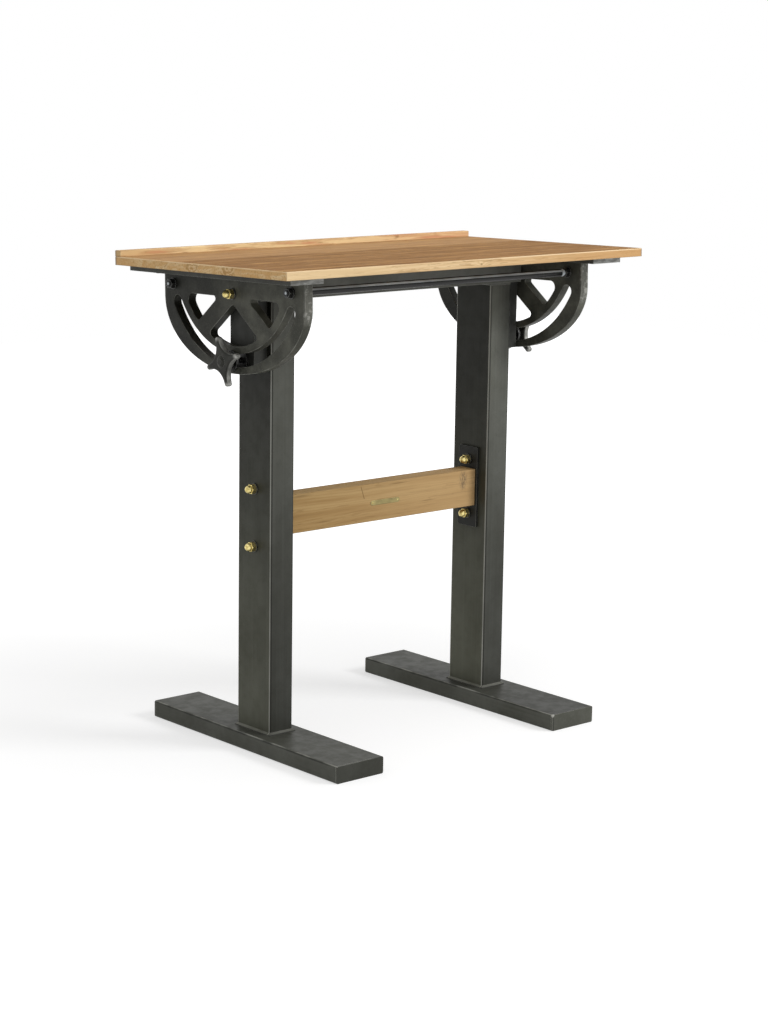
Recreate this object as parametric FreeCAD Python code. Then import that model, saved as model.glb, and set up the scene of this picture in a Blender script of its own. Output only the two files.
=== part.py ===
"""Clerk's standing desk: a wooden writing top that tilts on two cast quadrants over a steel stand.

Millimetres, +Z up, +X along the desk's length. The writer stands on the +Y side, where a low ledge
keeps papers from sliding off. The origin is on the floor under the tilt axis, midway between the
feet. Pieces that come in pairs are drawn on the +X side and mirrored for the -X side.
"""
import FreeCAD
import Part
import math
import os

from FreeCAD import Vector

# Stand -----------------------------------------------------------------------------------------
foot_length = 636.0        # along Y
foot_width = 126.0         # along X
foot_high = 37.0
foot_wall = 3.0
foot_cap = 4.0             # plate welded over each open end of a foot

column_width = 62.0        # along X
column_depth = 112.0       # along Y
column_wall = 3.0
column_cap = 4.0
column_drop = 13.0         # from the tilt axis down to the top of the capped column
tube_corner = 4.0          # outer corner radius of the square tubes
weld_leg = 5.0             # fillet weld round the foot of each column

angle_leg = 40.0           # steel angle welded across the column tops
angle_thick = 5.0
angle_end_gap = 9.0        # from each end of the angle to the quadrant beside it

bracket_width = 80.0       # channel welded to the outside of each column, along Y
bracket_depth = 34.0       # from the column to the outer face of the channel's web
bracket_wall = 5.0
bracket_above = 18.0       # past the tilt axis
bracket_below = 24.0       # past the clamp stud

# Stretcher -------------------------------------------------------------------------------------
beam_high = 84.0
beam_thick = 48.0          # along Y
beam_middle = 502.0        # height of its centre line
beam_edge = 2.0            # worn edge
plate_width = 60.0         # steel plate on each end of the beam, along Y
plate_high = 184.0
plate_thick = 6.0
plate_corner = 4.0
stud_spacing = 124.0       # the two through studs of a column, one over the other
beam_screw_spacing = 46.0  # the two wood screws through each plate into the beam
beam_screw_radius = 3.0
beam_screw_head = 6.0
beam_screw_length = 60.0

# Tilt mechanism --------------------------------------------------------------------------------
axis_high = 979.0          # tilt axis over the floor
rest_tilt = 1.5            # degrees that the ledge side hangs below level as it stands
quadrant_thick = 21.0
slot_rise = 82.0           # from the tilt axis up to the centre of the curved slot
slot_radius = 220.0        # from that centre to the middle of the slot
slot_width = 28.0          # room for the clamp stud to wander across as the top tilts
slot_half_angle = 60.0     # degrees, each way from straight down
rim_width = 14.0           # metal under the slot
cheek_width = 32.0         # metal beside each end of the slot
ring_width = 15.0          # metal between the slot and the windows, at the bottom
window_drop = 8.0          # from the slot's centre down to the centre of the windows' round sides
shoulder_drop = 17.0       # from the axis down to where the straight sides turn into the curve
spoke_rise = 4.0           # from the axis up to where the middle lines of the spokes meet
spoke_angle = 52.0         # degrees that the spokes stand off straight down
spoke_width = 40.0
window_top = 8.0           # flat top of the two upper windows, below the axis
window_corner = 8.0
window_hub_corner = 6.0    # of an upper window, beside the pivot
window_top_corner = 14.0   # of an upper window, beside the rim
casting_edge = 1.5         # rounded edge of the casting
clamp_drop = 139.0         # from the tilt axis down to the clamp studs

running_fit = 0.08         # radial, of the pivot bolts and of the knobs on their studs
hole_fit = 0.15            # radial, of fixed fasteners in their holes
side_play = 0.3            # between faces that slide past each other

# Star knobs ------------------------------------------------------------------------------------
knob_reach = 53.0          # from its middle to the tip of an arm
knob_tip = 6.0             # radius of an arm's round end
knob_waist = 25.0          # from its middle to the hollow between two arms
knob_thick = 15.0
knob_arms = 4
knob_turns = {"left": 20.0, "right": 45.0}     # degrees that the arms stand off upright when tight
knob_neck = 10.0           # from the clamp washer to the arms
knob_neck_radius = 13.0
knob_dome = 4.0            # swelling of its outer face
knob_wall = 3.0            # metal over the end of its blind bore
knob_edge = 5.0            # rounded edge of the arms

# Writing top -----------------------------------------------------------------------------------
top_length = 1000.0        # along X
top_overhang = 99.0        # from the quadrant's outer face to the end of the boards
top_far = 303.0            # from the tilt axis to the far long edge
top_near = 275.0           # from the tilt axis to the long edge with the ledge
top_thick = 18.0
top_rise = 49.0            # from the tilt axis up to the underside of the boards
board_count = 4
board_edge = 1.5
ledge_wide = 19.0
ledge_high = 13.0
bar_width = 86.0           # flat bar under each end of the boards, along X
bar_length = 544.0         # along Y
bar_thick = 13.0
bar_corner = 3.0
bar_screw_inset = 25.0     # wood screws, in from the bar's outer edge
wood_screw_radius = 2.5
wood_screw_bite = 13.0     # how far a wood screw goes into a board
wood_head_radius = 5.5
wood_head_crown = 3.8      # radius of the flat on a wood screw's head
wood_head_high = 3.5
quadrant_screw_radius = 4.0
quadrant_screw_head = 7.5
quadrant_screw_length = 32.0
quadrant_screw_spacing = 150.0
quadrant_screw_count = 3

rod_radius = 8.0           # tie rods between the two quadrants
far_rod_inset = 43.0       # from the quadrant's far side edge to the rod
far_rod_rise = 14.0        # over the tilt axis
ledge_rod_inset = 32.0     # from the quadrant's ledge side edge to the rod
ledge_rod_rise = 9.0       # over the tilt axis
rod_shoulder = 3.0         # bare thread between the rod's shoulder and its inner nut
rod_bevel = 1.0

# Bolts, nuts and washers -----------------------------------------------------------------------
bolt_radius = 6.0
nut_flats = 19.0           # across flats
nut_high = 10.0
nut_dome = 12.0            # round cap of an acorn nut, over its hexagon
nut_cap_step = 1.0         # from the flats in to the foot of the cap
head_high = 7.5
washer_radius = 12.0
washer_thick = 2.5
spacer_radius = 15.0
spacer_gap = 5.0           # between a bracket and its quadrant
clamp_washer_radius = 22.0 # covers the slot wherever the stud stands in it
clamp_washer_thick = 4.0
thread_end = 2.0           # thread that shows past a nut
bore_end = 1.0             # empty end of a blind hole, past its fastener

# Worked out from the sizes above ---------------------------------------------------------------
quadrant_outer = top_length / 2 - top_overhang
quadrant_inner = quadrant_outer - quadrant_thick
quadrant_middle = quadrant_outer - quadrant_thick / 2
bracket_outer = quadrant_inner - spacer_gap
bracket_seat = bracket_outer - bracket_wall
column_outer = bracket_outer - bracket_depth
column_inner = column_outer - column_width
column_middle = column_outer - column_width / 2
column_top = axis_high - column_drop
beam_end = column_inner - plate_thick
stud_heights = [beam_middle - stud_spacing / 2, beam_middle + stud_spacing / 2]
slot_inner = slot_radius - slot_width / 2
slot_outer = slot_radius + slot_width / 2
slot_centre = axis_high + slot_rise
window_centre = slot_centre - window_drop
window_radius = slot_inner - ring_width - window_drop
quadrant_half = slot_radius * math.sin(math.radians(slot_half_angle)) + slot_width / 2 + cheek_width
quadrant_low = slot_centre - slot_outer - rim_width
underside = axis_high + top_rise
top_face = underside + top_thick
bar_under = underside - bar_thick
bar_outer = quadrant_inner + bar_width
clamp_high = axis_high - clamp_drop
spokes_high = axis_high + spoke_rise
far_rod = (far_rod_inset - quadrant_half, axis_high + far_rod_rise)
ledge_rod = (quadrant_half - ledge_rod_inset, axis_high + ledge_rod_rise)
board_width = (top_far + top_near) / board_count
board_middles = [board_width * (k + 0.5) - top_far for k in range(board_count)]

X_AXIS = Vector(1, 0, 0)
Y_AXIS = Vector(0, 1, 0)
Z_AXIS = Vector(0, 0, 1)
SIDES = {"left": -1, "right": 1}
tolerance = 0.01           # for picking edges by their place


# Plain shapes ----------------------------------------------------------------------------------
def box(x, y, z):
    """A block between the pairs x, y and z."""
    sizes = [high - low for low, high in (x, y, z)]
    return Part.makeBox(*sizes, Vector(x[0], y[0], z[0]))


def rounded(shape, axis, radius):
    """A block with its edges along one axis rounded."""
    edges = [edge for edge in shape.Edges
             if abs(edge.tangentAt(edge.FirstParameter).dot(axis)) > 1 - tolerance]
    return shape.makeFillet(radius, edges)


def rod(radius, start, end, y, z):
    """A cylinder along X between two distances from the middle of the desk."""
    return Part.makeCylinder(radius, end - start, Vector(start, y, z), X_AXIS)


def ring(radius, start, end, y, z):
    """A washer along X for one of the bolts."""
    return rod(radius, start, end, y, z).cut(rod(bolt_radius + hole_fit, start, end, y, z))


def washer(start, y, z):
    """A plain washer whose inner face lies at start."""
    return ring(washer_radius, start, start + washer_thick, y, z)


def turned(profile, y, z):
    """A solid of revolution about X; profile lists (along X, out from the axis)."""
    points = [Vector(along, y + out, z) for along, out in profile]
    face = Part.Face(Part.makePolygon(points + points[:1]))
    return face.revolve(Vector(0, y, z), X_AXIS, 360)


def hexagon(start, end, y, z):
    """A hexagonal prism along X with a flat on top and its outer corners turned off."""
    corner = nut_flats / math.sqrt(3)
    bevel = corner - nut_flats / 2
    turns = [math.radians(60 * k) for k in range(7)]
    points = [Vector(start, y + corner * math.cos(turn), z + corner * math.sin(turn)) for turn in turns]
    prism = Part.Face(Part.makePolygon(points)).extrude(Vector(end - start, 0, 0))
    profile = [(start, 0), (start, corner), (end - bevel, corner), (end, corner - bevel), (end, 0)]
    return prism.common(turned(profile, y, z))


def plain_nut(start, y, z):
    """A hexagonal nut whose inner face lies at start."""
    end = start + nut_high
    return hexagon(start, end, y, z).cut(rod(bolt_radius + hole_fit, start, end, y, z))


def acorn_nut(start, y, z):
    """A domed nut: a hexagon under a round cap, with a blind bore."""
    seat = start + nut_high
    tip = seat + nut_dome
    root = seat - nut_cap_step
    cap_radius = nut_flats / 2 - nut_cap_step
    halfway = math.sqrt(0.5)
    curve = Part.Arc(Vector(seat, y + cap_radius, z),
                     Vector(seat + nut_dome * halfway, y + cap_radius * halfway, z),
                     Vector(tip, y, z)).toShape()
    inside = [Vector(tip, y, z), Vector(root, y, z), Vector(root, y + cap_radius, z),
              Vector(seat, y + cap_radius, z)]
    outline = Part.Wire([curve] + Part.makePolygon(inside).Edges)
    cap = Part.Face(outline).revolve(Vector(0, y, z), X_AXIS, 360)
    bore = rod(bolt_radius + hole_fit, start, seat + thread_end + bore_end, y, z)
    return hexagon(start, seat, y, z).fuse(cap).cut(bore).removeSplitter()


def countersunk_screw(radius, head_radius, length, place, direction):
    """A flat-headed screw whose head is flush at place and whose shank runs along direction."""
    head = Part.makeCone(head_radius, radius, head_radius - radius, place, direction)
    return head.fuse(Part.makeCylinder(radius, length, place, direction)).removeSplitter()


def mirrored(shape, side):
    """The +X piece, or its mirror image on the -X side."""
    return shape if side > 0 else shape.mirror(Vector(0, 0, 0), X_AXIS)


def tilted(shape):
    """A piece of the top, turned about the tilt axis to the slope that it stands at."""
    piece = shape.copy()
    piece.rotate(Vector(0, 0, axis_high), X_AXIS, -rest_tilt)
    return piece


def save(name, *pieces):
    """Write one node, as a group when it holds several separate pieces."""
    node = pieces[0] if len(pieces) == 1 else Part.makeCompound(pieces)
    node.exportStep(f"parts/{name}.step")


# Stand -----------------------------------------------------------------------------------------
foot_x = (column_middle - foot_width / 2, column_middle + foot_width / 2)


def foot():
    """Flat rectangular tube that lies on the floor, open at both ends."""
    half = foot_length / 2 - foot_cap
    tube = rounded(box(foot_x, (-half, half), (0, foot_high)), Y_AXIS, tube_corner)
    inside_x = (foot_x[0] + foot_wall, foot_x[1] - foot_wall)
    return tube.cut(box(inside_x, (-half, half), (foot_wall, foot_high - foot_wall)))


def foot_caps():
    """A plate over each end of a foot."""
    end = foot_length / 2
    spans = [(-end, foot_cap - end), (end - foot_cap, end)]
    return [rounded(box(foot_x, span, (0, foot_high)), Y_AXIS, tube_corner) for span in spans]


def column_outline(grow, height):
    """The column's rectangle at one height, larger all round by grow."""
    half_x = column_width / 2 + grow
    half_y = column_depth / 2 + grow
    corners = [(-1, -1), (1, -1), (1, 1), (-1, 1), (-1, -1)]
    return Part.makePolygon([Vector(column_middle + u * half_x, v * half_y, height) for u, v in corners])


def column():
    """Upright rectangular tube with a fillet weld round its foot and holes for the stretcher's studs."""
    x = (column_inner, column_outer)
    y = (-column_depth / 2, column_depth / 2)
    z = (foot_high, column_top - column_cap)
    weld_outlines = [column_outline(weld_leg, foot_high), column_outline(0, foot_high + weld_leg)]
    weld = Part.makeLoft(weld_outlines, True, True)
    hollow = box((x[0] + column_wall, x[1] - column_wall), (y[0] + column_wall, y[1] - column_wall), z)
    tube = rounded(box(x, y, z), Z_AXIS, tube_corner).fuse(weld).cut(hollow)
    for height in stud_heights:
        tube = tube.cut(rod(bolt_radius + hole_fit, column_inner, column_outer, 0, height))
    return tube.removeSplitter()


def column_lid():
    """Plate that closes the top of a column."""
    plate = box((column_inner, column_outer), (-column_depth / 2, column_depth / 2),
                (column_top - column_cap, column_top))
    return rounded(plate, Z_AXIS, tube_corner)


def cross_angle():
    """Steel angle across both column tops; the flat leg is cut back at both ends for the brackets."""
    end = quadrant_inner - angle_end_gap
    y = -column_depth / 2
    flat = box((-column_outer, column_outer), (y, y + angle_leg), (column_top, column_top + angle_thick))
    upright = box((-end, end), (y, y + angle_thick), (column_top, column_top + angle_leg))
    return flat.fuse(upright).removeSplitter()


def bracket():
    """Channel with its web towards the quadrant and its flanges welded to the column."""
    half = bracket_width / 2
    z = (clamp_high - bracket_below, axis_high + bracket_above)
    section = box((column_outer, bracket_outer), (-half, half), z)
    section = section.cut(box((column_outer, bracket_seat), (bracket_wall - half, half - bracket_wall), z))
    for height in (clamp_high, axis_high):
        section = section.cut(rod(bolt_radius + hole_fit, bracket_seat, bracket_outer, 0, height))
    return section


# Stretcher -------------------------------------------------------------------------------------
def screw_into_beam(height):
    """Flat-headed wood screw from the column's side of the plate into the beam's end."""
    return countersunk_screw(beam_screw_radius, beam_screw_head, beam_screw_length,
                             Vector(column_inner, 0, height), -X_AXIS)


beam_screw_heights = [beam_middle - beam_screw_spacing / 2, beam_middle + beam_screw_spacing / 2]


def stretcher_beam():
    """Wooden rail between the two end plates, with a pilot hole for each screw."""
    beam = box((-beam_end, beam_end), (-beam_thick / 2, beam_thick / 2),
               (beam_middle - beam_high / 2, beam_middle + beam_high / 2))
    beam = rounded(beam, X_AXIS, beam_edge)
    depth = beam_screw_length - plate_thick + bore_end
    for height in beam_screw_heights:
        pilot = rod(beam_screw_radius + hole_fit, beam_end - depth, beam_end, 0, height)
        beam = beam.cut(pilot).cut(mirrored(pilot, -1))
    return beam


def beam_plate():
    """Upright plate between a column and the beam's end."""
    plate = box((beam_end, column_inner), (-plate_width / 2, plate_width / 2),
                (beam_middle - plate_high / 2, beam_middle + plate_high / 2))
    plate = rounded(plate, X_AXIS, plate_corner)
    for height in stud_heights:
        plate = plate.cut(rod(bolt_radius + hole_fit, beam_end, column_inner, 0, height))
    for height in beam_screw_heights:
        sink = countersunk_screw(beam_screw_radius + hole_fit, beam_screw_head + hole_fit, beam_screw_length,
                                 Vector(column_inner, 0, height), -X_AXIS)
        plate = plate.cut(sink)
    return plate


def stretcher_fasteners():
    """Two studs through a column and its plate, with a washer and an acorn nut on each end."""
    studs = []
    washers = []
    nuts = []
    inner = beam_end - washer_thick
    outer = column_outer + washer_thick
    reach = nut_high + thread_end
    for height in stud_heights:
        studs.append(rod(bolt_radius, inner - reach, outer + reach, 0, height))
        washers.append(washer(inner, 0, height))
        washers.append(washer(column_outer, 0, height))
        nut = acorn_nut(outer, 0, height)
        nuts.append(nut)
        nuts.append(nut.mirror(Vector((inner + outer) / 2, 0, 0), X_AXIS))
    return studs, washers, nuts


# Tilt mechanism --------------------------------------------------------------------------------
def polar(radius, angle, centre=slot_centre):
    """A point about a centre at that height; the angle is counted in degrees from straight down."""
    turn = math.radians(angle)
    return Vector(quadrant_inner, radius * math.sin(turn), centre - radius * math.cos(turn))


def window_arc(start, end):
    """The round side of a window between two points given by their Y."""
    first, last = [math.degrees(math.asin(y / window_radius)) for y in (start, end)]
    turns = (first, (first + last) / 2, last)
    return Part.Arc(*[polar(window_radius, turn, window_centre) for turn in turns]).toShape()


def curved_slot():
    """The slot for the clamp stud: two arcs joined by round ends."""
    cap = math.degrees(slot_width / 2 / slot_radius)
    arcs = [Part.Arc(polar(radius, -slot_half_angle), polar(radius, 0), polar(radius, slot_half_angle))
            for radius in (slot_inner, slot_outer)]
    for sign in (-1, 1):
        arcs.append(Part.Arc(polar(slot_inner, sign * slot_half_angle),
                             polar(slot_radius, sign * (slot_half_angle + cap)),
                             polar(slot_outer, sign * slot_half_angle)))
    outline = Part.Wire(Part.__sortEdges__([arc.toShape() for arc in arcs]))
    return Part.Face(outline).extrude(Vector(quadrant_thick, 0, 0))


lean = math.radians(spoke_angle)


def spoke_side(offset, along):
    """A point on the ledge-side spoke: offset up from its middle line, and along it from its upper end."""
    return Vector(quadrant_inner, offset * math.cos(lean) + along * math.sin(lean),
                  spokes_high + offset * math.sin(lean) - along * math.cos(lean))


def spoke_end(offset):
    """Where a side of the spoke meets the round side of the windows."""
    above = window_centre - spokes_high
    across = offset - above * math.sin(lean)
    along = math.sqrt(window_radius ** 2 - across ** 2) - above * math.cos(lean)
    return spoke_side(offset, along)


def corner_edges(prism, lowest, highest):
    """The edges along X at a window's corners between two heights."""
    return [edge for edge in prism.Edges
            if edge.BoundBox.XLength > quadrant_thick / 2 and lowest < edge.BoundBox.ZMax < highest]


def window(corners):
    """A window with straight sides through its corners and an arc from the last one to the first."""
    high = axis_high - window_top
    edges = Part.makePolygon(corners).Edges + [window_arc(corners[-1].y, corners[0].y)]
    prism = Part.Face(Part.Wire(Part.__sortEdges__(edges))).extrude(Vector(quadrant_thick, 0, 0))
    prism = prism.makeFillet(window_corner, corner_edges(prism, 0, high - window_corner))
    for radius, corner in zip((window_hub_corner, window_top_corner), corners[1:]):
        edges = [edge for edge in corner_edges(prism, high - tolerance, high + tolerance)
                 if abs(edge.BoundBox.Center.y - corner.y) < tolerance]
        prism = prism.makeFillet(radius, edges) if edges else prism
    return prism


def lower_window():
    """The window between the two spokes, pointing up at the pivot."""
    corner = spoke_end(-spoke_width / 2)
    opposite = Vector(corner.x, -corner.y, corner.z)
    peak = Vector(corner.x, 0, spokes_high - spoke_width / 2 / math.sin(lean))
    return window([opposite, peak, corner])


def upper_window():
    """The window between a spoke and the top web, on the ledge side."""
    high = axis_high - window_top
    near = (spoke_width / 2 + (spokes_high - high) * math.sin(lean)) / math.cos(lean)
    far = math.sqrt(window_radius ** 2 - (window_centre - high) ** 2)
    return window([spoke_end(spoke_width / 2), Vector(quadrant_inner, near, high),
                   Vector(quadrant_inner, far, high)])


def quadrant_blank():
    """The D-shaped plate: straight sides to the shoulders and half an ellipse under them."""
    shoulder = axis_high - shoulder_drop
    centre = Vector(quadrant_inner, 0, shoulder)
    tips = [Vector(quadrant_inner, quadrant_half, shoulder), Vector(quadrant_inner, 0, quadrant_low)]
    tips.sort(key=centre.distanceToPoint, reverse=True)
    outline = Part.Wire(Part.Ellipse(*tips, centre).toShape())
    disc = Part.Face(outline).extrude(Vector(quadrant_thick, 0, 0))
    x = (quadrant_inner, quadrant_outer)
    y = (-quadrant_half, quadrant_half)
    below = box(x, y, (quadrant_low, shoulder))
    return disc.common(below).fuse(box(x, y, (shoulder, bar_under))).removeSplitter()


def quadrant():
    """Casting that carries the top: curved slot, two spokes, three windows and rounded edges.

    The slot's centre lies above the tilt axis. The clamp stud stands still while the casting swings,
    so it wanders across the wide slot and meets its upper wall at the steepest slope.
    """
    ledge_window = upper_window()
    casting = quadrant_blank().cut(lower_window()).cut(ledge_window)
    casting = casting.cut(ledge_window.mirror(Vector(0, 0, 0), Y_AXIS)).cut(curved_slot())
    face_edges = [edge for edge in casting.Edges
                  if edge.BoundBox.XLength < tolerance and edge.BoundBox.ZMax < bar_under - tolerance]
    casting = casting.makeFillet(casting_edge, face_edges)
    casting = casting.cut(rod(bolt_radius + running_fit, quadrant_inner, quadrant_outer, 0, axis_high))
    for place in (far_rod, ledge_rod):
        casting = casting.cut(rod(bolt_radius + hole_fit, quadrant_inner, quadrant_outer, *place))
    depth = quadrant_screw_length - bar_thick + bore_end
    for y in quadrant_screw_places:
        mouth = Vector(quadrant_middle, y, bar_under)
        casting = casting.cut(Part.makeCylinder(quadrant_screw_radius + hole_fit, depth, mouth, -Z_AXIS))
    return casting


def bolt_with_head(tip, height):
    """A bolt along X whose hexagon head sits against the inside of the bracket's web."""
    head = hexagon(0, head_high, 0, height).mirror(Vector(0, 0, 0), X_AXIS)
    head.translate(Vector(bracket_seat, 0, 0))
    return head.fuse(rod(bolt_radius, bracket_seat, tip, 0, height)).removeSplitter()


def bracket_spacer(radius, height):
    """Spacer washer between the bracket and the quadrant, with side play."""
    return ring(radius, bracket_outer, quadrant_inner - side_play, 0, height)


def pivot_parts():
    """Pivot bolt, its spacer and outer washer, and the acorn nut on its end."""
    face = quadrant_outer + side_play
    seat = face + washer_thick
    bolt = bolt_with_head(seat + nut_high + thread_end, axis_high)
    washers = [bracket_spacer(spacer_radius, axis_high), washer(face, 0, axis_high)]
    return bolt, washers, acorn_nut(seat, 0, axis_high)


# Clamp -----------------------------------------------------------------------------------------
clamp_washer_face = quadrant_outer + side_play + clamp_washer_thick
knob_start = clamp_washer_face + side_play
arms_start = knob_start + knob_neck
arms_end = arms_start + knob_thick
stud_tip = arms_end - knob_wall - side_play


def clamp_parts():
    """Clamp stud through the slot, its spacer, and the wide washer under the knob."""
    wide = ring(clamp_washer_radius, quadrant_outer + side_play, clamp_washer_face, 0, clamp_high)
    return bolt_with_head(stud_tip, clamp_high), [bracket_spacer(clamp_washer_radius, clamp_high), wide]


def knob_point(out, across, angle):
    """A point of the knob's outline: out along an arm and across it; angle is counted from upright."""
    turn = math.radians(angle)
    return Vector(arms_start, out * math.sin(turn) + across * math.cos(turn),
                  clamp_high + out * math.cos(turn) - across * math.sin(turn))


def star_knob(turn):
    """Cast hand knob: arms with hollow sides and round tips, a neck, a domed face and a blind bore."""
    step = 360 / knob_arms
    tip_out = knob_reach - knob_tip
    edges = []
    for k in range(knob_arms):
        angle = turn + k * step
        before, after = knob_point(tip_out, -knob_tip, angle), knob_point(tip_out, knob_tip, angle)
        edges.append(Part.Arc(before, knob_point(knob_reach, 0, angle), after).toShape())
        hollow = knob_point(knob_waist, 0, angle + step / 2)
        edges.append(Part.Arc(after, hollow, knob_point(tip_out, -knob_tip, angle + step)).toShape())
    star = Part.Face(Part.Wire(Part.__sortEdges__(edges))).extrude(Vector(knob_thick, 0, 0))
    rims = [edge for edge in star.Edges if edge.BoundBox.XLength < tolerance]
    star = star.makeFillet(knob_edge, rims)
    neck = rod(knob_neck_radius, knob_start, arms_end - knob_edge, 0, clamp_high)
    base = arms_start + knob_edge
    crown = arms_end + knob_dome
    dome = turned([(base, 0), (base, knob_neck_radius), (arms_end, knob_neck_radius),
                   (crown, knob_neck_radius / 2), (crown, 0)], 0, clamp_high)
    bore = rod(bolt_radius + running_fit, knob_start, arms_end - knob_wall, 0, clamp_high)
    return star.fuse([neck, dome]).cut(bore).removeSplitter()


# Writing top -----------------------------------------------------------------------------------
bar_screw_x = bar_outer - bar_screw_inset
quadrant_screw_places = [quadrant_screw_spacing * (k - (quadrant_screw_count - 1) / 2)
                         for k in range(quadrant_screw_count)]


def top_boards():
    """The boards glued edge to edge, from the far edge to the ledge, with pilot holes under them."""
    x = (-top_length / 2, top_length / 2)
    slab = box(x, (-top_far, top_near), (underside, top_face))
    rim = [edge for edge in slab.Edges if edge.BoundBox.ZMin > top_face - tolerance]
    slab = slab.makeFillet(board_edge, rim)
    boards = []
    for middle in board_middles:
        y = (middle - board_width / 2, middle + board_width / 2)
        board = slab.common(box(x, y, (underside, top_face)))
        for side in SIDES.values():
            mouth = Vector(side * bar_screw_x, middle, underside)
            depth = wood_screw_bite + bore_end
            board = board.cut(Part.makeCylinder(wood_screw_radius + hole_fit, depth, mouth, Z_AXIS))
        boards.append(board)
    return boards


def paper_ledge():
    """Low strip along the writer's edge of the boards."""
    strip = box((-top_length / 2, top_length / 2), (top_near - ledge_wide, top_near),
                (top_face, top_face + ledge_high))
    rim = [edge for edge in strip.Edges if edge.BoundBox.ZMin > top_face + ledge_high - tolerance]
    return strip.makeFillet(board_edge, rim)


def top_bar():
    """Flat bar under one end of the boards, over the quadrant."""
    bar = box((quadrant_inner, bar_outer), (-bar_length / 2, bar_length / 2), (bar_under, underside))
    bar = rounded(bar, Z_AXIS, bar_corner)
    for y in quadrant_screw_places:
        seat = Vector(quadrant_middle, y, underside)
        bar = bar.cut(countersunk_screw(quadrant_screw_radius + hole_fit, quadrant_screw_head + hole_fit,
                                        bar_thick, seat, -Z_AXIS))
    for y in board_middles:
        mouth = Vector(bar_screw_x, y, bar_under)
        bar = bar.cut(Part.makeCylinder(wood_screw_radius + hole_fit, bar_thick, mouth, Z_AXIS))
    return bar


def quadrant_screws():
    """Flat-headed screws from the top of the bar down into the quadrant."""
    return [countersunk_screw(quadrant_screw_radius, quadrant_screw_head, quadrant_screw_length,
                              Vector(quadrant_middle, y, underside), -Z_AXIS) for y in quadrant_screw_places]


def bar_screws():
    """Wood screws from below, one through the bar into each board."""
    screws = []
    for y in board_middles:
        seat = Vector(bar_screw_x, y, bar_under)
        head = Part.makeCone(wood_head_radius, wood_head_crown, wood_head_high, seat, -Z_AXIS)
        shank = Part.makeCylinder(wood_screw_radius, bar_thick + wood_screw_bite, seat, Z_AXIS)
        screws.append(head.fuse(shank).removeSplitter())
    return screws


def tie_rod(y, z):
    """Round rod between the quadrants, turned down to a thread at both ends."""
    shoulder = quadrant_inner - washer_thick - nut_high - rod_shoulder
    tip = quadrant_outer + washer_thick + nut_high + thread_end
    half = [(0, rod_radius), (shoulder - rod_bevel, rod_radius), (shoulder, rod_radius - rod_bevel),
            (shoulder, bolt_radius), (tip, bolt_radius), (tip, 0)]
    profile = [(-along, out) for along, out in reversed(half[1:])] + half[1:]
    return turned(profile, y, z)


def rod_fasteners():
    """A washer and a nut on each face of the quadrant, for both rods."""
    washers = []
    nuts = []
    for place in (far_rod, ledge_rod):
        washers.append(washer(quadrant_inner - washer_thick, *place))
        washers.append(washer(quadrant_outer, *place))
        outer_nut = plain_nut(quadrant_outer + washer_thick, *place)
        nuts.append(outer_nut)
        nuts.append(outer_nut.mirror(Vector(quadrant_middle, 0, 0), X_AXIS))
    return washers, nuts


# Write every node ------------------------------------------------------------------------------
os.makedirs("parts", exist_ok=True)

save("cross_angle", cross_angle())
save("stretcher_beam", stretcher_beam())
stand_singles = {"foot": foot(), "column": column(), "column_cap": column_lid(), "bracket": bracket(),
                 "beam_plate": beam_plate()}
studs, stud_washers, stud_nuts = stretcher_fasteners()
pivot_bolt, pivot_washers, pivot_nut = pivot_parts()
clamp_stud, clamp_washers = clamp_parts()
beam_screws = [screw_into_beam(height) for height in beam_screw_heights]
stand_groups = {"foot_caps": foot_caps(), "beam_screws": beam_screws,
                "stretcher_studs": studs, "stretcher_washers": stud_washers,
                "stretcher_acorn_nuts": stud_nuts, "pivot_bolt": [pivot_bolt],
                "pivot_washers": pivot_washers, "pivot_acorn_nut": [pivot_nut],
                "clamp_stud": [clamp_stud], "clamp_washers": clamp_washers}
rod_washers, rod_nuts = rod_fasteners()
top_groups = {"quadrant": [quadrant()], "top_bar": [top_bar()], "quadrant_screws": quadrant_screws(),
              "bar_screws": bar_screws(), "rod_washers": rod_washers, "rod_nuts": rod_nuts}

for side_name, side in SIDES.items():
    for name, piece in stand_singles.items():
        save(f"{side_name}_{name}", mirrored(piece, side))
    for name, pieces in stand_groups.items():
        save(f"{side_name}_{name}", *[mirrored(piece, side) for piece in pieces])
    save(f"{side_name}_star_knob", mirrored(star_knob(knob_turns[side_name]), side))
    for name, pieces in top_groups.items():
        save(f"{side_name}_{name}", *[tilted(mirrored(piece, side)) for piece in pieces])

for number, board in enumerate(top_boards(), start=1):
    save(f"top_board_{number}", tilted(board))
save("paper_ledge", tilted(paper_ledge()))
save("far_tie_rod", tilted(tie_rod(*far_rod)))
save("ledge_tie_rod", tilted(tie_rod(*ledge_rod)))
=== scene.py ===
"""Looks of the clerk's standing desk: finishes, worn edges, marks and a blank plate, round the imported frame.

Metres, +Z up, +X along the desk, +Y towards the writer. Left means -X, far means -Y and near means +Y.
The camera looks from beyond the far left corner.
"""
import bmesh
import bpy
import math

from mathutils import Matrix, Vector


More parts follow.
